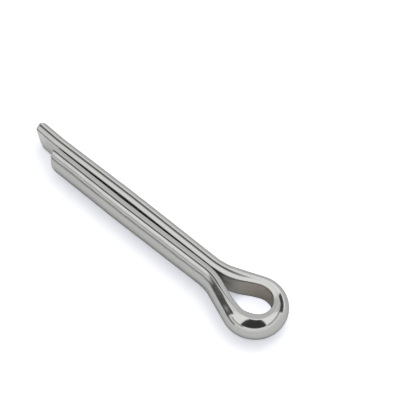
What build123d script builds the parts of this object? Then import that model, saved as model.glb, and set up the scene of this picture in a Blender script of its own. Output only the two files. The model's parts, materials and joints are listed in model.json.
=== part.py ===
"""Split cotter pin: one half-round wire bent into an open eye and two legs that lie flat to flat.

Millimetres. The pin lies on its side: +X runs from the eye along the shank to the tips, +Z is up and
is the direction of the hole through the eye. The origin is on the shank's axis, where the neck of the
eye ends and the legs begin. The short leg is on the +Y side, the long leg on the -Y side.
"""
from build123d import *
import os
from math import cos, radians, sin, tan

# Shank: both legs closed make one round bar
shank_diameter = 4.6     # across the round sides of the two legs
flat_inset = 0.09        # the wire is this much thinner than half the bar, to leave room between the flats
crease_angle = 20.0      # the round stops at a crease this far from the top and bottom of the bar
land_fall = 0.10         # the narrow land sinks this much from the crease to the flat
edge_round = 0.25        # rounding between the land and the flat

# Legs, measured from the neck along the shank
short_leg_length = 29.4
long_leg_extension = 4.3
neck_gap = 0.06          # between the two flats at the neck
splay_angle = 0.5        # each leg leans out this much, then back in by as much
outward_run = 14.0       # straight part of a leg that leans out
bow_radius = 150.0       # bend between the part that leans out and the part that leans in
flare_angle = 3.0        # the end of the long leg bends out by this much
flare_radius = 20.0

# Eye: a round end, two straight flanks and a neck that curves into the legs
hole_radius = 2.6
flank_angle = 21.5       # between a flank and the shank's axis
neck_radius = 9.0

# Ends: both legs are sheared by one slanting blade, so each cut leans and its outer edge is rolled over
cut_yaw = 16.0           # slant across the pin: the short leg's round side is cut short, the long leg's is not
cut_rake = 11.0          # the underside of a leg is shorter than its top
cut_edge_round = 0.7     # along the round side of the cut
trim_allowance = 1.5     # the wire runs this far past the cut before it is sheared

# Section of the wire, measured outwards from its flat
round_radius = shank_diameter / 2
wire_thickness = round_radius - flat_inset
crease_out = round_radius * sin(radians(crease_angle)) - flat_inset
crease_height = round_radius * cos(radians(crease_angle))
flat_height = crease_height - land_fall

neck_drop = neck_radius * (cos(radians(splay_angle)) - cos(radians(flank_angle)))
flank_length = (hole_radius * cos(radians(flank_angle)) - neck_drop - neck_gap / 2) / sin(radians(flank_angle))
neck_length = neck_radius * (sin(radians(flank_angle)) + sin(radians(splay_angle)))
hole_centre_x = -(neck_length + flank_length * cos(radians(flank_angle)) + hole_radius * sin(radians(flank_angle)))
hole_end_x = hole_centre_x - hole_radius


def lay_eye_and_leg(leg_length):
    """Lay the inner edge of the wire from the far end of the eye round to a leg's end, on the +Y side."""
    eye_end = JernArc((hole_end_x, 0), (0, 1), hole_radius, -(90 + flank_angle))
    flank = PolarLine(eye_end @ 1, flank_length, direction=eye_end % 1)
    neck = JernArc(flank @ 1, flank % 1, neck_radius, flank_angle + splay_angle)
    lean_out = PolarLine(neck @ 1, outward_run, direction=neck % 1)
    bow = JernArc(lean_out @ 1, lean_out % 1, bow_radius, -2 * splay_angle)
    lean_in_length = (leg_length - (bow @ 1).X) / cos(radians(splay_angle))
    return PolarLine(bow @ 1, lean_in_length, direction=bow % 1)


def shear_end(leg, tip, yaw):
    """Cut a leg through the top edge of its flat at its tip, and roll over the round edge of the cut."""
    lean = Vector(1, tan(radians(yaw)), -tan(radians(cut_rake)))
    split(bisect_by=Plane(origin=(tip.X, tip.Y, flat_height), z_dir=lean), keep=Keep.BOTTOM)
    cut_face = leg.faces().sort_by(Axis.X)[-1]
    fillet(cut_face.edges().sort_by(SortBy.LENGTH)[-1], cut_edge_round)


# Section of the wire at the far end of the eye: local x points out of the hole, local y is up
with BuildSketch(Plane(origin=(hole_end_x, 0, 0), x_dir=(-1, 0, 0), z_dir=(0, 1, 0))) as wire_section:
    with BuildLine():
        outer_round = ThreePointArc((crease_out, crease_height), (wire_thickness, 0), (crease_out, -crease_height))
        Polyline(outer_round @ 1, (0, -flat_height), (0, flat_height), outer_round @ 0)
    make_face()
    fillet(wire_section.vertices().group_by(Axis.X)[0], edge_round)

# The wire's inner edge from the far end of the eye to each tip, both laid on the +Y side
with BuildLine() as short_route:
    short_end = lay_eye_and_leg(short_leg_length)
    PolarLine(short_end @ 1, trim_allowance, direction=short_end % 1)

with BuildLine() as long_route:
    long_end = lay_eye_and_leg(short_leg_length)
    flare = JernArc(long_end @ 1, long_end % 1, flare_radius, flare_angle)
    long_run = long_leg_extension - ((flare @ 1).X - short_leg_length)
    flared_end = PolarLine(flare @ 1, long_run / (flare % 1).X, direction=flare % 1)
    PolarLine(flared_end @ 1, trim_allowance, direction=flare % 1)

with BuildPart() as short_half:
    add(wire_section.sketch)
    sweep(path=short_route.wire())
    shear_end(short_half, tip=short_end @ 1, yaw=cut_yaw)

with BuildPart() as long_half:
    add(wire_section.sketch)
    sweep(path=long_route.wire())
    shear_end(long_half, tip=flared_end @ 1, yaw=-cut_yaw)

with BuildPart() as cotter_pin:
    add(short_half.part)
    mirror(long_half.part, about=Plane.XZ)

cotter_pin.part.label = "cotter_pin"
os.makedirs("parts", exist_ok=True)
export_step(cotter_pin.part, "parts/cotter_pin.step")
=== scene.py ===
"""Studio scene of a stainless split cotter pin lying on a pale floor.

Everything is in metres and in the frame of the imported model: +X runs from the eye to the tips, +Z is up,
and the origin is on the shank's axis where the neck of the eye ends. The wire is built as one dense mesh
from a section and a route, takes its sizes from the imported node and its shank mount, and stands for it.
"""

import json
import logging
from dataclasses import dataclass, field
from enum import Enum
from math import cos, pi, radians, sin, tan

import bpy
import numpy as np
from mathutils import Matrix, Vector


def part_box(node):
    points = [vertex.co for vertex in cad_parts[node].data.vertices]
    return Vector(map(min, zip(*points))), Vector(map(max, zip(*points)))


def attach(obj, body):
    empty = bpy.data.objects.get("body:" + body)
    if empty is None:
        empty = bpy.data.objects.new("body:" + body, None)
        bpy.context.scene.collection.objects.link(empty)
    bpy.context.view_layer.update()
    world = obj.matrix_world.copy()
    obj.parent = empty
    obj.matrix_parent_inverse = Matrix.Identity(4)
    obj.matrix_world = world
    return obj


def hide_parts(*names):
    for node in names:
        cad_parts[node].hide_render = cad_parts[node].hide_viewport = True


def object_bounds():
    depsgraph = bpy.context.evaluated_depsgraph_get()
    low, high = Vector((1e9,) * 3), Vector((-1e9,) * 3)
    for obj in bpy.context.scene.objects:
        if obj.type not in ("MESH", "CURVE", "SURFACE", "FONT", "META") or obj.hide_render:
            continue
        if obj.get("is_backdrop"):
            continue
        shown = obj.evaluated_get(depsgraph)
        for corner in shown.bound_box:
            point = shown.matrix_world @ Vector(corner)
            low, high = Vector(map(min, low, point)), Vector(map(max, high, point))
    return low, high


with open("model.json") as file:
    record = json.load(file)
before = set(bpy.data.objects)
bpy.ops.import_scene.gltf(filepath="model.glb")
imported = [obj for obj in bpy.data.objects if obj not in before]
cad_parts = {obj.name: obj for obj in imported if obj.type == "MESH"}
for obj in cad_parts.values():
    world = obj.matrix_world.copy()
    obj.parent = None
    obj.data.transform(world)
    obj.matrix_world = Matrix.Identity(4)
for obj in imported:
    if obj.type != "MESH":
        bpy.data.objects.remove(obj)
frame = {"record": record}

LOG = logging.getLogger("cotter_pin_scene")
MILLIMETRE = 0.001


class Zone(Enum):
    """Surfaces of the half-round wire that differ in finish."""

    ROUND = "round"
    CREASE = "crease"
    LAND = "land"
    EDGE = "edge"
    FLAT = "flat"


@dataclass(frozen=True)
class WireSection:
    """Half-round section of the wire, measured outwards from its flat and up from its middle.

    Attributes:
        round_radius: Radius of the round side.
        half_height: Height of the crease above the middle of the wire.
        flat_inset: How much thinner than the round radius the wire is.
        land_width: Width of the land between the flat and the crease.
        land_fall: How far the land sinks from the crease to the flat.
        edge_round: Rounding between the land and the flat.
        crease_width: Width of the fine groove rolled in beside the crease.
        crease_depth: Depth of that groove.
        eye_narrowing: Share of the land's width lost where the wire is bent into the eye.
    """

    round_radius: float
    half_height: float
    flat_inset: float = 0.09 * MILLIMETRE
    land_width: float = 0.93 * MILLIMETRE
    land_fall: float = 0.10 * MILLIMETRE
    edge_round: float = 0.12 * MILLIMETRE
    crease_width: float = 0.16 * MILLIMETRE
    crease_depth: float = 0.07 * MILLIMETRE
    eye_narrowing: float = 0.25
    round_steps: int = 30
    land_steps: int = 12
    edge_steps: int = 5
    flat_steps: int = 7

    @property
    def thickness(self) -> float:
        """Distance from the flat to the outermost point of the round."""
        return self.round_radius - self.flat_inset

    def zones(self) -> list[Zone]:
        """List the zone of each point of the closed outline."""
        upper = [Zone.ROUND] * (self.round_steps + 1)
        upper += [Zone.CREASE] * 4 + [Zone.LAND] * (self.land_steps - 4)
        upper += [Zone.EDGE] * self.edge_steps + [Zone.FLAT] * self.flat_steps
        return upper + upper[-2:0:-1]

    def outline(self, eye_share: np.ndarray, swell: np.ndarray) -> tuple[np.ndarray, np.ndarray]:
        """Work out the closed outline of the section at some places along the wire.

        Args:
            eye_share: How far the wire is into the eye at each place, from 0 to 1.
            swell: How far the bend has pressed the flat inwards at each place.

        Returns:
            Distances from the flat and heights, one row a place.
        """
        share, press = eye_share[:, None], swell[:, None]
        crease_out = self.land_width * (1 - self.eye_narrowing * share)
        crease_angle = np.arcsin((crease_out + self.flat_inset) / self.round_radius)
        tallness = self.half_height / np.cos(crease_angle)
        angle = (pi / 2 - crease_angle) * np.linspace(0, 1, self.round_steps + 1)
        outs = [self.round_radius * np.cos(angle) - self.flat_inset]
        heights = [tallness * np.sin(angle)]
        spread = (1 - np.cos(pi * np.arange(1, self.land_steps + 1) / self.land_steps)) / 2
        reach = (crease_out - self.edge_round) * spread
        groove = self.crease_depth * (1 - share) * np.exp(-((reach / self.crease_width - 0.8) ** 2) * 4)
        outs.append(crease_out - reach)
        heights.append(self.half_height - self.land_fall * reach / crease_out - groove)
        bend = pi / 2 * np.arange(1, self.edge_steps + 1) / self.edge_steps
        outs.append(outs[-1][:, -1:] * (1 - np.sin(bend)))
        heights.append(heights[-1][:, -1:] - self.edge_round * (1 - np.cos(bend)))
        down = 1 - np.arange(1, self.flat_steps + 1) / self.flat_steps
        outs.append(0 * down * share)
        heights.append(heights[-1][:, -1:] * down)
        upper_out, upper_height = np.hstack(outs), np.hstack(heights)
        outs = np.hstack([upper_out, upper_out[:, -2:0:-1]])
        heights = np.hstack([upper_height, -upper_height[:, -2:0:-1]])
        return self.thickness - (self.thickness - outs) * (1 + press / self.thickness), heights


@dataclass(frozen=True)
class Swelling:
    """Place where bending the eye has pressed the wire's inner side inwards.

    Attributes:
        along: Distance from the far end of the eye, positive towards the short leg.
        spread: How far the swelling spreads along the wire.
        amount: How far it stands in at its middle.
    """

    along: float
    spread: float
    amount: float

    def at(self, along: np.ndarray) -> np.ndarray:
        """Measure the swelling at some distances along the wire."""
        return self.amount * np.exp(-(((along - self.along) / self.spread) ** 2))


@dataclass(frozen=True)
class EyeBend:
    """What bending the eye has done to the wire.

    Attributes:
        inner_reach: Up to this far from the eye's far end the wire is fully bent.
        outer_reach: Beyond this far it is as drawn.
        swellings: Places pressed inwards.
    """

    inner_reach: float = 5.0 * MILLIMETRE
    outer_reach: float = 10.5 * MILLIMETRE
    swellings: tuple[Swelling, ...] = (
        Swelling(3.0 * MILLIMETRE, 2.6 * MILLIMETRE, 0.62 * MILLIMETRE),
        Swelling(-8.8 * MILLIMETRE, 2.2 * MILLIMETRE, 0.40 * MILLIMETRE),
    )

    def share(self, along: np.ndarray) -> np.ndarray:
        """Measure how far into the eye the wire is, from 0 on the legs to 1 at the far end."""
        inside = np.clip((self.outer_reach - np.abs(along)) / (self.outer_reach - self.inner_reach), 0, 1)
        return inside * inside * (3 - 2 * inside)

    def swell(self, along: np.ndarray) -> np.ndarray:
        """Add up the swellings at some distances along the wire."""
        return sum(swelling.at(along) for swelling in self.swellings)


@dataclass(frozen=True)
class EyeAndLegs:
    """Sizes of the route that the flat of the wire follows.

    Attributes:
        hole_radius: Radius of the far end of the hole.
        hole_end: Distance of the far end of the hole behind the origin.
        short_leg: Length of the short leg from the neck.
        long_leg: Length of the long leg from the neck.
        flank_angle: Angle between a flank of the eye and the shank, in radians.
        splay_angle: How much a leg leans out and back in, in radians.
        neck_gap: Gap between the flats at the neck.
        outward_run: Length of the part of a leg that leans out.
        bow_radius: Radius of the bend in a leg.
        flare_angle: How much the end of the long leg bends out, in radians.
        flare_radius: Radius of that bend.
    """

    hole_radius: float
    hole_end: float
    short_leg: float
    long_leg: float
    flank_angle: float = radians(21.5)
    splay_angle: float = radians(0.5)
    neck_gap: float = 0.06 * MILLIMETRE
    outward_run: float = 14.0 * MILLIMETRE
    bow_radius: float = 150.0 * MILLIMETRE
    flare_angle: float = radians(3.0)
    flare_radius: float = 20.0 * MILLIMETRE

    @property
    def neck_radius(self) -> float:
        """Radius of the neck that joins the flank to the leg with no corner."""
        flank, splay = self.flank_angle, self.splay_angle
        cotangent = 1 / tan(flank)
        centre = self.hole_end - self.hole_radius
        rise = self.hole_radius * cos(flank) - self.neck_gap / 2
        reach = sin(flank) + sin(splay) - cotangent * (cos(splay) - cos(flank))
        return (centre - cotangent * rise - self.hole_radius * sin(flank)) / reach

    @property
    def flank_length(self) -> float:
        """Length of the straight flank between the round end and the neck."""
        flank, splay = self.flank_angle, self.splay_angle
        drop = self.neck_radius * (cos(splay) - cos(flank))
        return (self.hole_radius * cos(flank) - drop - self.neck_gap / 2) / sin(flank)


@dataclass(frozen=True)
class Stretch:
    """One straight or round stretch of a route.

    Attributes:
        length: Length along the route.
        turn: Change of heading over the stretch, in radians, positive to the left.
    """

    length: float
    turn: float = 0.0


class Route:
    """Plane curve of straight runs and tangent arcs, from the far end of the eye to a leg's tip."""

    def __init__(self, start: tuple[float, float], heading: float, stretches: list[Stretch]) -> None:
        """Place the stretches one after another.

        Args:
            start: First point of the route.
            heading: Heading at the first point, in radians from +X.
            stretches: The stretches in order.
        """
        self._stretches = stretches
        self._starts = [(np.array(start, float), heading, 0.0)]
        for stretch in stretches:
            point, angle, distance = self._starts[-1]
            ahead = self._advance(point, angle, stretch, np.array([stretch.length]))[0][0]
            self._starts.append((ahead, angle + stretch.turn, distance + stretch.length))

    @property
    def length(self) -> float:
        """Length of the whole route."""
        return self._starts[-1][2]

    @staticmethod
    def _advance(
        point: np.ndarray, angle: float, stretch: Stretch, travel: np.ndarray
    ) -> tuple[np.ndarray, np.ndarray]:
        """Travel along one stretch.

        Args:
            point: Start of the stretch.
            angle: Heading at its start.
            stretch: The stretch.
            travel: Distances from its start.

        Returns:
            Points and headings at those distances.
        """
        headings = angle + stretch.turn * travel / stretch.length
        if abs(stretch.turn) < 1e-9:
            points = point + travel[:, None] * np.array([cos(angle), sin(angle)])
            return points, headings
        radius = stretch.length / stretch.turn
        offsets = np.stack([np.sin(headings) - sin(angle), cos(angle) - np.cos(headings)], axis=1)
        return point + radius * offsets, headings

    def at(self, distances: np.ndarray) -> tuple[np.ndarray, np.ndarray]:
        """Find the points of the route at some distances along it.

        Args:
            distances: Distances from the start; past the end, the last stretch goes on.

        Returns:
            Points and headings.
        """
        flat = distances.ravel()
        points = np.zeros((flat.size, 2))
        headings = np.zeros(flat.size)
        bounds = [start[2] for start in self._starts[1:-1]]
        owner = np.searchsorted(bounds, flat, side="right")
        for index, stretch in enumerate(self._stretches):
            mine = owner == index
            point, angle, begin = self._starts[index]
            points[mine], headings[mine] = self._advance(point, angle, stretch, flat[mine] - begin)
        return points.reshape(*distances.shape, 2), headings.reshape(distances.shape)


@dataclass(frozen=True)
class ShearedEnd:
    """How a leg is cut: a leaning cut whose far edges are rolled over.

    Attributes:
        yaw: The round side is shorter than the flat side by this angle, in radians.
        rake: The underside is shorter than the top by this angle, in radians.
        flat_break: How far the corner of the land is broken back at the flat.
        burr_round: Rounding of the cut along its top.
        under_roll: Further rounding along its underside.
        outer_roll: Further rounding along the round side.
        reach: Length of the leg over which the mesh follows the cut.
    """

    yaw: float
    rake: float
    flat_break: float
    under_roll: float
    outer_roll: float
    burr_round: float = 0.08 * MILLIMETRE
    reach: float = 6.0 * MILLIMETRE
    reach_steps: int = 22
    round_steps: int = 7
    face_steps: int = 9

    def set_back(self, outs: np.ndarray, heights: np.ndarray, section: WireSection) -> np.ndarray:
        """Measure how far behind the tip the cut meets points of the section.

        Args:
            outs: Distances of the points from the flat.
            heights: Heights of the points.
            section: Section of the wire.

        Returns:
            Distances behind the tip.
        """
        top = section.half_height - section.land_fall
        broken = self.flat_break * np.clip(1 - outs / section.land_width, 0, 1)
        return outs * tan(self.yaw) + (top - heights) * tan(self.rake) + broken

    def rounding(self, outs: np.ndarray, heights: np.ndarray, section: WireSection) -> np.ndarray:
        """Measure the rounding of the cut's edge at points of the section's outline.

        Args:
            outs: Distances of the points from the flat.
            heights: Heights of the points.
            section: Section of the wire.

        Returns:
            Rounding radii, small at the top and large at the underside.
        """
        depth = np.clip((section.half_height - heights) / (2 * section.half_height), 0, 1)
        outward = np.clip(outs / section.thickness, 0, 1)
        return self.burr_round + self.under_roll * depth ** 3 + self.outer_roll * outward ** 2


SHORT_CUT = ShearedEnd(
    yaw=radians(15.5),
    rake=radians(12.5),
    flat_break=0.55 * MILLIMETRE,
    under_roll=0.8 * MILLIMETRE,
    outer_roll=0.15 * MILLIMETRE,
)
LONG_CUT = ShearedEnd(
    yaw=radians(-18.5),
    rake=radians(7.0),
    flat_break=0.0,
    under_roll=0.85 * MILLIMETRE,
    outer_roll=0.55 * MILLIMETRE,
)


@dataclass(frozen=True)
class Waviness:
    """Slight unevenness of rolled and bent wire, as a sum of seeded waves.

    Attributes:
        amplitude: Height of the unevenness.
        seed: Seed of the waves.
        waves: How many waves are added.
    """

    amplitude: float = 0.0035 * MILLIMETRE
    seed: int = 11
    waves: int = 26

    def heights(self, along: np.ndarray, around: np.ndarray) -> np.ndarray:
        """Sum the waves at points of the surface.

        Args:
            along: Distances along the wire.
            around: Distances round the section.

        Returns:
            Displacements along the surface normal.
        """
        rng = np.random.default_rng(self.seed)
        total = np.zeros(np.broadcast(along, around).shape)
        for _ in range(self.waves):
            along_rate = 2 * pi / (rng.uniform(1.6, 9.0) * MILLIMETRE)
            around_rate = 2 * pi / (rng.uniform(1.5, 6.0) * MILLIMETRE) * rng.choice([-1, 1])
            phase = rng.uniform(0, 2 * pi)
            total += np.cos(along * along_rate + around * around_rate + phase)
        return self.amplitude * total / np.sqrt(self.waves / 2)


@dataclass(frozen=True)
class StainlessFinish:
    """Drawn and bent stainless wire.

    Attributes:
        steel: Colour of clean metal.
        flat_painted_light: Colour of the flat on the legs, painted lighter than clean metal as a painted
            reflection, because the flat mirrors shaded floor.
        inner: Colour of the flat inside the eye, darker and warmer than the flat on the legs.
        groove: Painted shade: near-black colour in the crease and, at 0.55 strength, on the edge round
            between land and flat, standing in for the shade and dark reflection there.
        torn: Colour of the sheared ends.
        edge_tint: Darkening of the reflection at grazing angles.
        roughness: Roughness of the drawn round side.
        eye_roughness: Roughness of the eye, burnished by bending.
        mottle_level: Brightness of the darker mottling against clean metal.
        flat_roughness: Roughness of the flat.
    """

    steel: tuple[float, float, float, float] = (0.60, 0.60, 0.585, 1.0)
    inner: tuple[float, float, float, float] = (0.66, 0.61, 0.56, 1.0)
    groove: tuple[float, float, float, float] = (0.10, 0.10, 0.095, 1.0)
    torn: tuple[float, float, float, float] = (0.22, 0.22, 0.22, 1.0)
    flat_painted_light: tuple[float, float, float, float] = (0.86, 0.86, 0.84, 1.0)
    edge_tint: tuple[float, float, float, float] = (0.6, 0.6, 0.6, 1.0)
    roughness: float = 0.17
    eye_roughness: float = 0.09
    mottle_level: float = 0.9
    flat_roughness: float = 0.42

    def material(self) -> bpy.types.Material:
        """Build the material.

        Returns:
            A node material that reads the wire's place and zone attributes.
        """
        material = bpy.data.materials.new("stainless_wire")
        material.use_nodes = True
        nodes, links = material.node_tree.nodes, material.node_tree.links
        shader = nodes["Principled BSDF"]
        shader.inputs["Metallic"].default_value = 1.0
        shader.inputs["Specular Tint"].default_value = self.edge_tint

        place = nodes.new("ShaderNodeAttribute")
        place.attribute_name = "wire_place"
        zones = nodes.new("ShaderNodeAttribute")
        zones.attribute_name = "wire_zone"
        split_zones = nodes.new("ShaderNodeSeparateXYZ")
        links.new(zones.outputs["Vector"], split_zones.inputs[0])
        crease, flat, cut = split_zones.outputs
        split_place = nodes.new("ShaderNodeSeparateXYZ")
        links.new(place.outputs["Vector"], split_place.inputs[0])
        eye = split_place.outputs[2]
        eye_flat_share = nodes.new("ShaderNodeMath")
        eye_flat_share.operation = "MULTIPLY"
        links.new(flat, eye_flat_share.inputs[0])
        links.new(eye, eye_flat_share.inputs[1])

        draw_lines = self._noise(material, place, (160.0, 16000.0, 1.0), detail=4.0)
        mottle = self._noise(material, place, (500.0, 900.0, 1.0), detail=3.0)
        shear_lines = self._noise(material, place, (9000.0, 1200.0, 1.0), detail=3.0)

        darker = tuple(self.mottle_level * channel for channel in self.steel[:3]) + (1.0,)
        clean = self._mix_colour(material, mottle, self.steel, darker)
        # Painted reflection: the flat on the legs is painted lighter than the metal.
        clean = self._mix_colour(material, flat, clean, self.flat_painted_light)
        with_eye_flat = self._mix_colour(material, eye_flat_share.outputs[0], clean, self.inner)
        torn_metal = self._mix_colour(material, cut, with_eye_flat, self.torn)
        # Painted shade: the first zone channel paints the crease and the edge round near black.
        with_painted_shade = self._mix_colour(material, crease, torn_metal, self.groove)
        links.new(with_painted_shade, shader.inputs["Base Color"])

        rough = self._range(material, draw_lines, self.roughness - 0.05, self.roughness + 0.07)
        rough = self._mix_value(material, eye, rough, self.eye_roughness)
        rough = self._mix_value(material, flat, rough, self.flat_roughness)
        rough = self._mix_value(material, cut, rough, self.flat_roughness)
        links.new(rough, shader.inputs["Roughness"])

        scratch = nodes.new("ShaderNodeBump")
        scratch.inputs["Strength"].default_value = 0.35
        scratch.inputs["Distance"].default_value = 0.004 * MILLIMETRE
        links.new(draw_lines, scratch.inputs["Height"])
        torn = nodes.new("ShaderNodeBump")
        torn.inputs["Distance"].default_value = 0.03 * MILLIMETRE
        links.new(cut, torn.inputs["Strength"])
        links.new(shear_lines, torn.inputs["Height"])
        links.new(scratch.outputs["Normal"], torn.inputs["Normal"])
        links.new(torn.outputs["Normal"], shader.inputs["Normal"])
        return material

    @staticmethod
    def _noise(
        material: bpy.types.Material,
        place: bpy.types.Node,
        scale: tuple[float, float, float],
        detail: float,
    ) -> bpy.types.NodeSocket:
        """Add noise stretched along or round the wire.

        Args:
            material: Material to add to.
            place: Attribute node that gives the place along and round the wire.
            scale: Noise cells per metre along the wire, round it, and across.
            detail: Detail of the noise.

        Returns:
            The noise value.
        """
        nodes, links = material.node_tree.nodes, material.node_tree.links
        stretch = nodes.new("ShaderNodeMapping")
        stretch.inputs["Scale"].default_value = scale
        links.new(place.outputs["Vector"], stretch.inputs["Vector"])
        noise = nodes.new("ShaderNodeTexNoise")
        noise.inputs["Scale"].default_value = 1.0
        noise.inputs["Detail"].default_value = detail
        links.new(stretch.outputs["Vector"], noise.inputs["Vector"])
        return noise.outputs["Fac"]

    @staticmethod
    def _mix_colour(
        material: bpy.types.Material,
        share: bpy.types.NodeSocket,
        first: bpy.types.NodeSocket | tuple,
        second: bpy.types.NodeSocket | tuple,
    ) -> bpy.types.NodeSocket:
        """Mix two colours, each a socket or a constant.

        Args:
            material: Material to add to.
            share: Share of the second colour.
            first: First colour.
            second: Second colour.

        Returns:
            The mixed colour.
        """
        nodes, links = material.node_tree.nodes, material.node_tree.links
        mix = nodes.new("ShaderNodeMix")
        mix.data_type = "RGBA"
        links.new(share, mix.inputs["Factor"])
        for socket, value in ((mix.inputs[6], first), (mix.inputs[7], second)):
            if isinstance(value, tuple):
                socket.default_value = value
            else:
                links.new(value, socket)
        return mix.outputs[2]

    @staticmethod
    def _range(
        material: bpy.types.Material, value: bpy.types.NodeSocket, low: float, high: float
    ) -> bpy.types.NodeSocket:
        """Spread the middle of a noise value over a range.

        Args:
            material: Material to add to.
            value: Noise value.
            low: Result for a low value.
            high: Result for a high value.

        Returns:
            The value in its new range.
        """
        nodes, links = material.node_tree.nodes, material.node_tree.links
        spread = nodes.new("ShaderNodeMapRange")
        spread.inputs["From Min"].default_value = 0.3
        spread.inputs["From Max"].default_value = 0.7
        spread.inputs["To Min"].default_value = low
        spread.inputs["To Max"].default_value = high
        links.new(value, spread.inputs["Value"])
        return spread.outputs["Result"]

    @staticmethod
    def _mix_value(
        material: bpy.types.Material,
        share: bpy.types.NodeSocket,
        first: bpy.types.NodeSocket,
        second: float,
    ) -> bpy.types.NodeSocket:
        """Mix a value with a constant.

        Args:
            material: Material to add to.
            share: Share of the constant.
            first: The value.
            second: The constant.

        Returns:
            The mixed value.
        """
        nodes, links = material.node_tree.nodes, material.node_tree.links
        mix = nodes.new("ShaderNodeMix")
        mix.data_type = "FLOAT"
        mix.inputs[3].default_value = second
        links.new(share, mix.inputs["Factor"])
        links.new(first, mix.inputs[2])
        return mix.outputs[0]


@dataclass
class CotterPin:
    """The wire, from the tip of the short leg round the eye to the tip of the long leg.

    Attributes:
        section: Section of the wire.
        sizes: Sizes of the eye and the legs.
        bend: What bending the eye has done to the wire.
        waviness: Unevenness of the surface.
        finish: Finish of the metal.
    """

    section: WireSection
    sizes: EyeAndLegs
    bend: EyeBend = field(default_factory=EyeBend)
    waviness: Waviness = field(default_factory=Waviness)
    finish: StainlessFinish = field(default_factory=StainlessFinish)
    name: str = "cotter_pin_wire"
    ring_spacing: float = 0.17 * MILLIMETRE

    @classmethod
    def from_frame(cls, node: str) -> "CotterPin":
        """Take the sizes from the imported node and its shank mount.

        Args:
            node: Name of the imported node.

        Returns:
            The pin at its real size.
        """
        low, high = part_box(node)
        shank = frame["record"]["mounts"][0]
        section = WireSection(
            round_radius=shank["dims"]["r_mm"] * MILLIMETRE, half_height=(high[2] - low[2]) / 2
        )
        overhang = section.thickness * tan(-LONG_CUT.yaw) - LONG_CUT.outer_roll
        sizes = EyeAndLegs(
            hole_radius=high[1] - section.thickness,
            hole_end=-low[0] - section.thickness,
            short_leg=shank["dims"]["length_mm"] * MILLIMETRE,
            long_leg=high[0] - overhang,
        )
        return cls(section=section, sizes=sizes)

    def _route(self, leg: float, flared: bool) -> Route:
        """Lay the route of one side of the pin.

        Args:
            leg: Length of the leg from the neck.
            flared: Whether the end of the leg bends out.

        Returns:
            The route from the far end of the eye to the tip.
        """
        sizes = self.sizes
        eye_turn, neck_turn = pi / 2 + sizes.flank_angle, sizes.flank_angle + sizes.splay_angle
        bow = sizes.bow_radius * 2 * sizes.splay_angle
        stretches = [
            Stretch(sizes.hole_radius * eye_turn, -eye_turn),
            Stretch(sizes.flank_length),
            Stretch(sizes.neck_radius * neck_turn, neck_turn),
            Stretch(sizes.outward_run),
            Stretch(bow, -2 * sizes.splay_angle),
            Stretch(sizes.short_leg - sizes.outward_run - bow),
        ]
        if flared:
            flare = sizes.flare_radius * sizes.flare_angle
            stretches.append(Stretch(flare, sizes.flare_angle))
            stretches.append(Stretch(leg - sizes.short_leg - flare))
        return Route((-sizes.hole_end, 0.0), pi / 2, stretches)

    def _half_rings(self, route: Route, cut: ShearedEnd, side: int) -> tuple[np.ndarray, ...]:
        """List the rings of one side of the pin, from the far end of the eye to the middle of the cut.

        Args:
            route: Route of that side.
            cut: How its leg is cut.
            side: 1 for the short leg, -1 for the long leg.

        Returns:
            Distances along the route, distances from the flat, heights, and cut shares, one row a ring.
        """
        body_end = route.length - cut.reach
        body = np.linspace(0, body_end, int(body_end / self.ring_spacing))
        stations = np.concatenate([body, np.full(cut.reach_steps, body_end)])
        outs, heights = self.section.outline(
            self.bend.share(stations * side), self.bend.swell(stations * side)
        )
        rim_out, rim_height = outs[-1], heights[-1]
        rounding = cut.rounding(rim_out, rim_height, self.section)
        cut_start = route.length - cut.set_back(rim_out, rim_height, self.section) - rounding
        share = np.linspace(0, 1, cut.reach_steps + 1)[1:, None] ** 0.8
        along = np.vstack([
            np.broadcast_to(body[:, None], (len(body), len(rim_out))),
            body_end + (cut_start - body_end) * share,
        ])
        rings = [(along, outs, heights, np.zeros(along.shape))]
        middle_out = self.section.thickness * 0.45
        from_middle = np.hypot(rim_out - middle_out, rim_height)
        for number in range(1, cut.round_steps + 1):
            step = number / cut.round_steps
            shrink = 1 - rounding * (1 - cos(pi / 2 * step)) / from_middle
            proud = rounding * (1 - sin(pi / 2 * step))
            rings.append(self._cut_ring(route, cut, middle_out, shrink, proud, step))
        for number in range(1, cut.face_steps):
            shrink = (1 - rounding / from_middle) * (1 - number / cut.face_steps)
            rings.append(self._cut_ring(route, cut, middle_out, shrink, 0 * rounding, 1.0))
        return tuple(np.vstack([ring[index] for ring in rings]) for index in range(4))

    def _cut_ring(
        self,
        route: Route,
        cut: ShearedEnd,
        middle_out: float,
        shrink: np.ndarray,
        proud: np.ndarray,
        share: float,
    ) -> tuple[np.ndarray, ...]:
        """Work out one ring of the rounded edge or of the face of a cut.

        Args:
            route: Route of the leg.
            cut: How the leg is cut.
            middle_out: Distance of the ring's middle from the flat.
            shrink: Size of the ring against the section, point by point.
            proud: How far behind the cut's plane the ring lies, point by point.
            share: How much of the ring's surface is cut metal.

        Returns:
            Distances along the route, distances from the flat, heights, and cut shares.
        """
        outs, heights = (row[0] for row in self.section.outline(np.zeros(1), np.zeros(1)))
        out, height = middle_out + (outs - middle_out) * shrink, heights * shrink
        back = cut.set_back(out, height, self.section) + proud
        return (route.length - back)[None], out[None], height[None], np.full((1, len(outs)), share)

    @staticmethod
    def _place(
        route: Route, along: np.ndarray, outs: np.ndarray, heights: np.ndarray, side: int
    ) -> np.ndarray:
        """Put points of the section into space.

        Args:
            route: Route of one side.
            along: Distances along the route.
            outs: Distances from the flat.
            heights: Heights.
            side: 1 for the +Y side, -1 for the -Y side.

        Returns:
            Points in metres.
        """
        points, headings = route.at(along)
        x = points[..., 0] - np.sin(headings) * outs
        y = (points[..., 1] + np.cos(headings) * outs) * side
        return np.stack([x, y, heights], axis=-1)

    @staticmethod
    def _around(outs: np.ndarray, heights: np.ndarray) -> np.ndarray:
        """Measure the distance round the section at each point of the outline."""
        steps = np.hypot(np.diff(outs), np.diff(heights))
        return np.concatenate([[0.0], np.cumsum(steps)])

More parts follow.
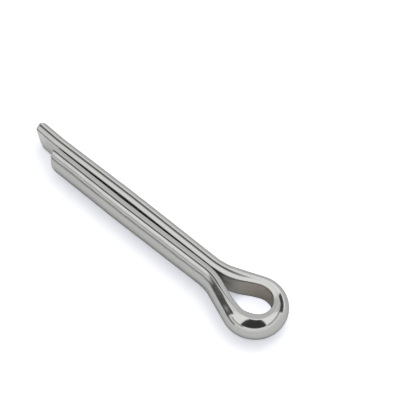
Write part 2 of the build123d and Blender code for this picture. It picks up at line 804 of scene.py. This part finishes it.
    def build(self) -> bpy.types.Object:
        """Build the mesh of the wire with its attributes.

        Returns:
            The wire as one closed mesh.
        """
        outs, heights = (row[0] for row in self.section.outline(np.zeros(1), np.zeros(1)))
        # Painted shade: the crease, fading out in the eye, and the edge round at 0.55 are marked for the
        # near-black colour; the cuts stay unmarked.
        crease_shade_mask = np.array([float(zone is Zone.CREASE) for zone in self.section.zones()])
        edges = np.array([0.55 * float(zone is Zone.EDGE) for zone in self.section.zones()])
        flats = np.array([float(zone is Zone.FLAT) for zone in self.section.zones()])
        around = self._around(outs, heights)
        normals = self._section_normals(outs, heights)
        points, places, marks = [], [], []
        sides = ((1, self.sizes.short_leg, SHORT_CUT), (-1, self.sizes.long_leg, LONG_CUT))
        for side, leg, cut in sides:
            route = self._route(leg, flared=side < 0)
            rings = self._half_rings(route, cut, side)
            if side > 0:
                rings = tuple(ring[:0:-1] for ring in rings)
            along, ring_outs, ring_heights, cuts = rings
            eye = self.bend.share(along)
            wave = self.waviness.heights(along * side, np.broadcast_to(around, along.shape)) * (1 - cuts)
            ring_outs = ring_outs + wave * normals[:, 0]
            ring_heights = ring_heights + wave * normals[:, 1] * np.where(np.abs(normals[:, 1]) > 0.9, 0, 1)
            points.append(self._place(route, along, ring_outs, ring_heights, side))
            places.append(np.stack([along * side, np.broadcast_to(around, along.shape), eye], axis=-1))
            painted_shade_marks = (crease_shade_mask * (1 - eye) + edges) * (1 - cuts)
            marks.append(np.stack([painted_shade_marks, flats * (1 - cuts), cuts], axis=-1))
        rings = np.concatenate(points)
        place = np.concatenate(places).reshape(-1, 3)
        mark = np.concatenate(marks).reshape(-1, 3)
        tips = [rings[0].mean(axis=0), rings[-1].mean(axis=0)]
        vertices = np.concatenate([rings.reshape(-1, 3), tips])
        place = np.concatenate([place, place[:1], place[-1:]])
        mark = np.concatenate([mark, [[0, 0, 1], [0, 0, 1]]])
        faces = self._faces(len(rings), len(outs))
        mesh = bpy.data.meshes.new(self.name)
        mesh.from_pydata(vertices.tolist(), [], faces)
        mesh.update()
        for name, values in (("wire_place", place), ("wire_zone", mark)):
            attribute = mesh.attributes.new(name, "FLOAT_VECTOR", "POINT")
            attribute.data.foreach_set("vector", values.astype(np.float32).ravel())
        mesh.shade_smooth()
        wire = bpy.data.objects.new(self.name, mesh)
        bpy.context.scene.collection.objects.link(wire)
        return wire

    @staticmethod
    def _section_normals(outs: np.ndarray, heights: np.ndarray) -> np.ndarray:
        """Work out the outward normals of the closed outline.

        Args:
            outs: Distances from the flat.
            heights: Heights.

        Returns:
            Unit normals, one row a point.
        """
        step_out = np.roll(outs, -1) - np.roll(outs, 1)
        step_height = np.roll(heights, -1) - np.roll(heights, 1)
        length = np.hypot(step_out, step_height)
        return np.stack([step_height / length, -step_out / length], axis=1)

    @staticmethod
    def _faces(rings: int, count: int) -> list[tuple[int, ...]]:
        """List the faces between the rings and the fans that close the two cuts.

        Args:
            rings: How many rings there are.
            count: Points in a ring.

        Returns:
            Vertex numbers of each face.
        """
        faces = []
        for ring in range(rings - 1):
            for point in range(count):
                beside = (point + 1) % count
                first, second = ring * count, (ring + 1) * count
                faces.append((first + point, first + beside, second + beside, second + point))
        first_tip, last_tip, last = rings * count, rings * count + 1, (rings - 1) * count
        for point in range(count):
            beside = (point + 1) % count
            faces.append((first_tip, beside, point))
            faces.append((last_tip, last + point, last + beside))
        return faces

    def dress(self, wire: bpy.types.Object, node: str, slot: str) -> None:
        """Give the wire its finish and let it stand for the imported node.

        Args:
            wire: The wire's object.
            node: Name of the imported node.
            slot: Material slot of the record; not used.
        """
        wire.data.materials.append(self.finish.material())
        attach(wire, "root")
        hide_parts(node)


@dataclass(frozen=True)
class TentPatch:
    """Darker patch of the tent, seen from the pin, with angles in degrees.

    Attributes:
        azimuth: Middle of the patch, measured from the camera's side.
        half_width: Half its width in azimuth.
        low: Lowest elevation.
        high: Highest elevation.
        level: Brightness.
        softness: Width of its soft edge.
    """

    azimuth: float
    half_width: float
    low: float
    high: float
    level: float
    softness: float = 5.0


@dataclass(frozen=True)
class Tent:
    """White tent round the pin, dark where it is open.

    Attributes:
        camera_azimuth: Side the camera stands on, in radians from +X.
        patches: Its darker patches.
        near_levels: Pairs of height and brightness on the camera's side.
        far_levels: Pairs of height and brightness on the other side.
    """

    camera_azimuth: float
    patches: tuple[TentPatch, ...] = (
        TentPatch(azimuth=66, half_width=28, low=28, high=38, level=0.65),
        TentPatch(azimuth=-55, half_width=22, low=25, high=33, level=0.60),
        TentPatch(azimuth=-70, half_width=14, low=4, high=15, level=0.30, softness=4),
        TentPatch(azimuth=-93, half_width=11, low=-20, high=46, level=0.12),
        TentPatch(azimuth=113, half_width=22, low=9, high=35, level=0.12),
        TentPatch(azimuth=180, half_width=85, low=36, high=62, level=0.92, softness=6),
        TentPatch(azimuth=-4, half_width=39, low=33, high=80, level=0.07),
    )
    near_levels: tuple[tuple[float, float], ...] = ((0.0, 1.0), (0.35, 1.2), (0.6, 1.5), (1.0, 1.5))
    far_levels: tuple[tuple[float, float], ...] = ((0.0, 1.5), (0.5, 1.45), (0.8, 1.4), (1.0, 1.45))

    def build(self) -> None:
        """Make the world."""
        world = bpy.data.worlds.new("tent")
        bpy.context.scene.world = world
        world.use_nodes = True
        nodes, links = world.node_tree.nodes, world.node_tree.links
        nodes.clear()
        direction = nodes.new("ShaderNodeTexCoord").outputs["Generated"]
        turned = nodes.new("ShaderNodeVectorRotate")
        turned.rotation_type = "Z_AXIS"
        turned.inputs["Angle"].default_value = -self.camera_azimuth
        links.new(direction, turned.inputs["Vector"])
        split = nodes.new("ShaderNodeSeparateXYZ")
        links.new(turned.outputs["Vector"], split.inputs[0])
        ahead, left, height = split.outputs
        azimuth = self._math(world, "ARCTAN2", left, ahead)
        elevation = self._math(world, "ARCSINE", height, None)
        near_share = self._smooth(world, ahead, -0.2, 0.2)
        far = self._ramp(world, height, self.far_levels)
        near = self._ramp(world, height, self.near_levels)
        level = self._mix(world, near_share, far, near)
        for patch in self.patches:
            level = self._mix(world, self._share(world, patch, azimuth, elevation), level, patch.level)
        background = nodes.new("ShaderNodeBackground")
        links.new(level, background.inputs["Strength"])
        output = nodes.new("ShaderNodeOutputWorld")
        links.new(background.outputs[0], output.inputs["Surface"])

    def _share(
        self,
        world: bpy.types.World,
        patch: TentPatch,
        azimuth: bpy.types.NodeSocket,
        elevation: bpy.types.NodeSocket,
    ) -> bpy.types.NodeSocket:
        """Work out how much of a direction belongs to a patch.

        Args:
            world: World to add to.
            patch: The patch.
            azimuth: Azimuth from the camera's side, in radians.
            elevation: Elevation, in radians.

        Returns:
            1 inside the patch and 0 outside, with a soft edge.
        """
        nodes = world.node_tree.nodes
        wrap = nodes.new("ShaderNodeMath")
        wrap.operation = "WRAP"
        wrap.inputs[1].default_value, wrap.inputs[2].default_value = pi, -pi
        turned = self._math(world, "SUBTRACT", azimuth, radians(patch.azimuth))
        world.node_tree.links.new(turned, wrap.inputs[0])
        aside = self._math(world, "ABSOLUTE", wrap.outputs[0], None)
        above = self._math(world, "SUBTRACT", elevation, radians((patch.low + patch.high) / 2))
        above = self._math(world, "ABSOLUTE", above, None)
        soft, half_height = radians(patch.softness), radians((patch.high - patch.low) / 2)
        wide = radians(patch.half_width)
        across = self._smooth(world, aside, wide + soft / 2, wide - soft / 2)
        upright = self._smooth(world, above, half_height + soft / 2, half_height - soft / 2)
        return self._math(world, "MULTIPLY", across, upright)

    @staticmethod
    def _math(
        world: bpy.types.World,
        operation: str,
        first: bpy.types.NodeSocket,
        second: bpy.types.NodeSocket | float | None,
    ) -> bpy.types.NodeSocket:
        """Add a math node.

        Args:
            world: World to add to.
            operation: Its operation.
            first: First value.
            second: Second value, a socket or a constant, or None.

        Returns:
            The result.
        """
        node = world.node_tree.nodes.new("ShaderNodeMath")
        node.operation = operation
        world.node_tree.links.new(first, node.inputs[0])
        if isinstance(second, float):
            node.inputs[1].default_value = second
        elif second is not None:
            world.node_tree.links.new(second, node.inputs[1])
        return node.outputs[0]

    @staticmethod
    def _smooth(
        world: bpy.types.World, value: bpy.types.NodeSocket, start: float, end: float
    ) -> bpy.types.NodeSocket:
        """Step smoothly from 0 to 1.

        Args:
            world: World to add to.
            value: The value.
            start: Value at which the step is 0.
            end: Value at which the step is 1.

        Returns:
            The step.
        """
        node = world.node_tree.nodes.new("ShaderNodeMapRange")
        node.interpolation_type = "SMOOTHSTEP"
        low, high = min(start, end), max(start, end)
        node.inputs["From Min"].default_value, node.inputs["From Max"].default_value = low, high
        rising = end > start
        node.inputs["To Min"].default_value = 0.0 if rising else 1.0
        node.inputs["To Max"].default_value = 1.0 if rising else 0.0
        world.node_tree.links.new(value, node.inputs["Value"])
        return node.outputs["Result"]

    @staticmethod
    def _mix(
        world: bpy.types.World,
        share: bpy.types.NodeSocket,
        first: bpy.types.NodeSocket,
        second: bpy.types.NodeSocket | float,
    ) -> bpy.types.NodeSocket:
        """Mix two brightnesses.

        Args:
            world: World to add to.
            share: Share of the second.
            first: First brightness.
            second: Second brightness, a socket or a constant.

        Returns:
            The mixed brightness.
        """
        mix = world.node_tree.nodes.new("ShaderNodeMix")
        mix.data_type = "FLOAT"
        world.node_tree.links.new(share, mix.inputs["Factor"])
        world.node_tree.links.new(first, mix.inputs[2])
        if isinstance(second, float):
            mix.inputs[3].default_value = second
        else:
            world.node_tree.links.new(second, mix.inputs[3])
        return mix.outputs[0]

    @classmethod
    def _ramp(
        cls, world: bpy.types.World, height: bpy.types.NodeSocket, levels: tuple[tuple[float, float], ...]
    ) -> bpy.types.NodeSocket:
        """Grade the brightness of the tent by height.

        Args:
            world: World to add to.
            height: Height of the direction looked in, from 0 at the horizon to 1 overhead.
            levels: Pairs of height and brightness.

        Returns:
            The brightness.
        """
        base = world.node_tree.nodes.new("ShaderNodeValue")
        base.outputs[0].default_value = levels[0][1]
        level = base.outputs[0]
        for (start, _), (end, brightness) in zip(levels, levels[1:]):
            level = cls._mix(world, cls._smooth(world, height, start, end), level, float(brightness))
        return level


@dataclass(frozen=True)
class Studio:
    """Pale floor, wrap-around light and camera.

    Attributes:
        camera_azimuth: Side the camera stands on, in radians from +X.
        camera_elevation: Height of the camera, in radians.
        camera_distance: Distance from the point looked at.
        lens: Focal length in millimetres on the standard sensor.
        look_at: Point looked at.
        floor_half: Half the width of the floor.
        floor_lift: How much whiter the floor shows to the camera than its lit colour.
        eye_painted_light: Painted light: the same, stronger, for a spot of the floor inside the eye, which
            paints out the shade there.
    """

    camera_azimuth: float = radians(131.6)
    camera_elevation: float = radians(59.4)
    camera_distance: float = 0.25
    lens: float = 150.7
    look_at: tuple[float, float, float] = (0.00667, -0.0077, 0.0)
    floor_half: float = 0.6
    floor_lift: float = 0.42
    eye_painted_light: float = 0.75

    def build(self, floor_height: float, eye_centre: float) -> None:
        """Make the floor, the light and the camera.

        Args:
            floor_height: Height of the floor.
            eye_centre: Place of the middle of the pin's eye along X.
        """
        self._floor(floor_height, Vector((eye_centre, 0.0, floor_height)))
        Tent(self.camera_azimuth).build()
        self._softbox()
        self._camera()

    def _floor(self, height: float, eye: Vector) -> None:
        """Lay a pale matt floor that shows white to the camera and keeps the shadow, except inside the eye,
        where painted light lifts the shade.

        Args:
            height: Height of the floor.
            eye: Middle of the floor spot under the eye that gets painted light in place of its shade.
        """
        half = self.floor_half
        mesh = bpy.data.meshes.new("floor")
        corners = [(x * half, y * half, height) for x, y in ((-1, -1), (1, -1), (1, 1), (-1, 1))]
        mesh.from_pydata(corners, [], [(0, 1, 2, 3)])
        floor = bpy.data.objects.new("floor", mesh)
        bpy.context.scene.collection.objects.link(floor)
        material = bpy.data.materials.new("floor_paper")
        material.use_nodes = True
        nodes, links = material.node_tree.nodes, material.node_tree.links
        nodes.clear()
        paper = nodes.new("ShaderNodeBsdfDiffuse")
        paper.inputs["Color"].default_value = (0.80, 0.80, 0.80, 1.0)
        lift = nodes.new("ShaderNodeEmission")
        lift.inputs["Color"].default_value = (0.88, 0.91, 1.0, 1.0)
        rays = nodes.new("ShaderNodeLightPath")
        # Painted light: near the middle of the eye the camera-ray lift rises, a painted pool of light over
        # the shade there.
        spot = nodes.new("ShaderNodeNewGeometry")
        away = nodes.new("ShaderNodeVectorMath")
        away.operation = "DISTANCE"
        away.inputs[1].default_value = eye
        links.new(spot.outputs["Position"], away.inputs[0])
        painted_lift_in_eye = nodes.new("ShaderNodeMapRange")
        painted_lift_in_eye.interpolation_type = "SMOOTHSTEP"
        painted_lift_in_eye.inputs["From Min"].default_value = 2.6 * MILLIMETRE
        painted_lift_in_eye.inputs["From Max"].default_value = 4.2 * MILLIMETRE
        painted_lift_in_eye.inputs["To Min"].default_value = self.eye_painted_light
        painted_lift_in_eye.inputs["To Max"].default_value = self.floor_lift
        links.new(away.outputs["Value"], painted_lift_in_eye.inputs["Value"])
        amount = nodes.new("ShaderNodeMath")
        amount.operation = "MULTIPLY"
        links.new(rays.outputs["Is Camera Ray"], amount.inputs[0])
        links.new(painted_lift_in_eye.outputs["Result"], amount.inputs[1])
        links.new(amount.outputs[0], lift.inputs["Strength"])
        both = nodes.new("ShaderNodeAddShader")
        links.new(paper.outputs[0], both.inputs[0])
        links.new(lift.outputs[0], both.inputs[1])
        output = nodes.new("ShaderNodeOutputMaterial")
        links.new(both.outputs[0], output.inputs["Surface"])
        mesh.materials.append(material)
        floor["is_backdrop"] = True

    def _softbox(self) -> None:
        """Hang a softbox that gives the shadow its direction and leaves the reflections to the tent."""
        lamp = bpy.data.lights.new("softbox", "AREA")
        lamp.shape = "SQUARE"
        lamp.size = 0.30
        lamp.energy = 0.6
        softbox = bpy.data.objects.new("softbox", lamp)
        bpy.context.scene.collection.objects.link(softbox)
        azimuth = self.camera_azimuth + radians(150)
        position = Vector((0.25 * cos(azimuth), 0.25 * sin(azimuth), 0.40))
        softbox.location = position
        softbox.visible_glossy = False
        softbox.rotation_euler = (-position).to_track_quat("-Z", "Y").to_euler()

    def _camera(self) -> None:
        """Stand the camera and make it the scene's own."""
        data = bpy.data.cameras.new("camera")
        data.lens = self.lens
        camera = bpy.data.objects.new("camera", data)
        bpy.context.scene.collection.objects.link(camera)
        flat = cos(self.camera_elevation)
        away = Vector((
            flat * cos(self.camera_azimuth), flat * sin(self.camera_azimuth), sin(self.camera_elevation)
        ))
        camera.location = Vector(self.look_at) + away * self.camera_distance
        camera.rotation_euler = away.to_track_quat("Z", "Y").to_euler()
        data.clip_start = 0.01
        bpy.context.scene.camera = camera


def as_lists(bounds: tuple) -> list[list[float]]:
    """Turn a pair of corners into plain lists."""
    return [[float(value) for value in corner] for corner in bounds]


def main() -> None:
    """Build the pin and the studio."""
    logging.basicConfig(level=logging.INFO, format="%(message)s")
    cad_bounds = as_lists(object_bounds())
    bpy.context.scene.view_settings.view_transform = "Standard"
    pin = CotterPin.from_frame("cotter_pin")
    wire = pin.build()
    pin.dress(wire, "cotter_pin", "stainless")
    neck = pin.sizes.neck_radius / MILLIMETRE
    LOG.info("%s: %d faces, neck radius %.2f mm", wire.name, len(wire.data.polygons), neck)
    Studio().build(floor_height=cad_bounds[0][2], eye_centre=pin.sizes.hole_radius - pin.sizes.hole_end)
    LOG.info("studio: floor, tent, softbox and camera")


if __name__ == "__main__":
    main()
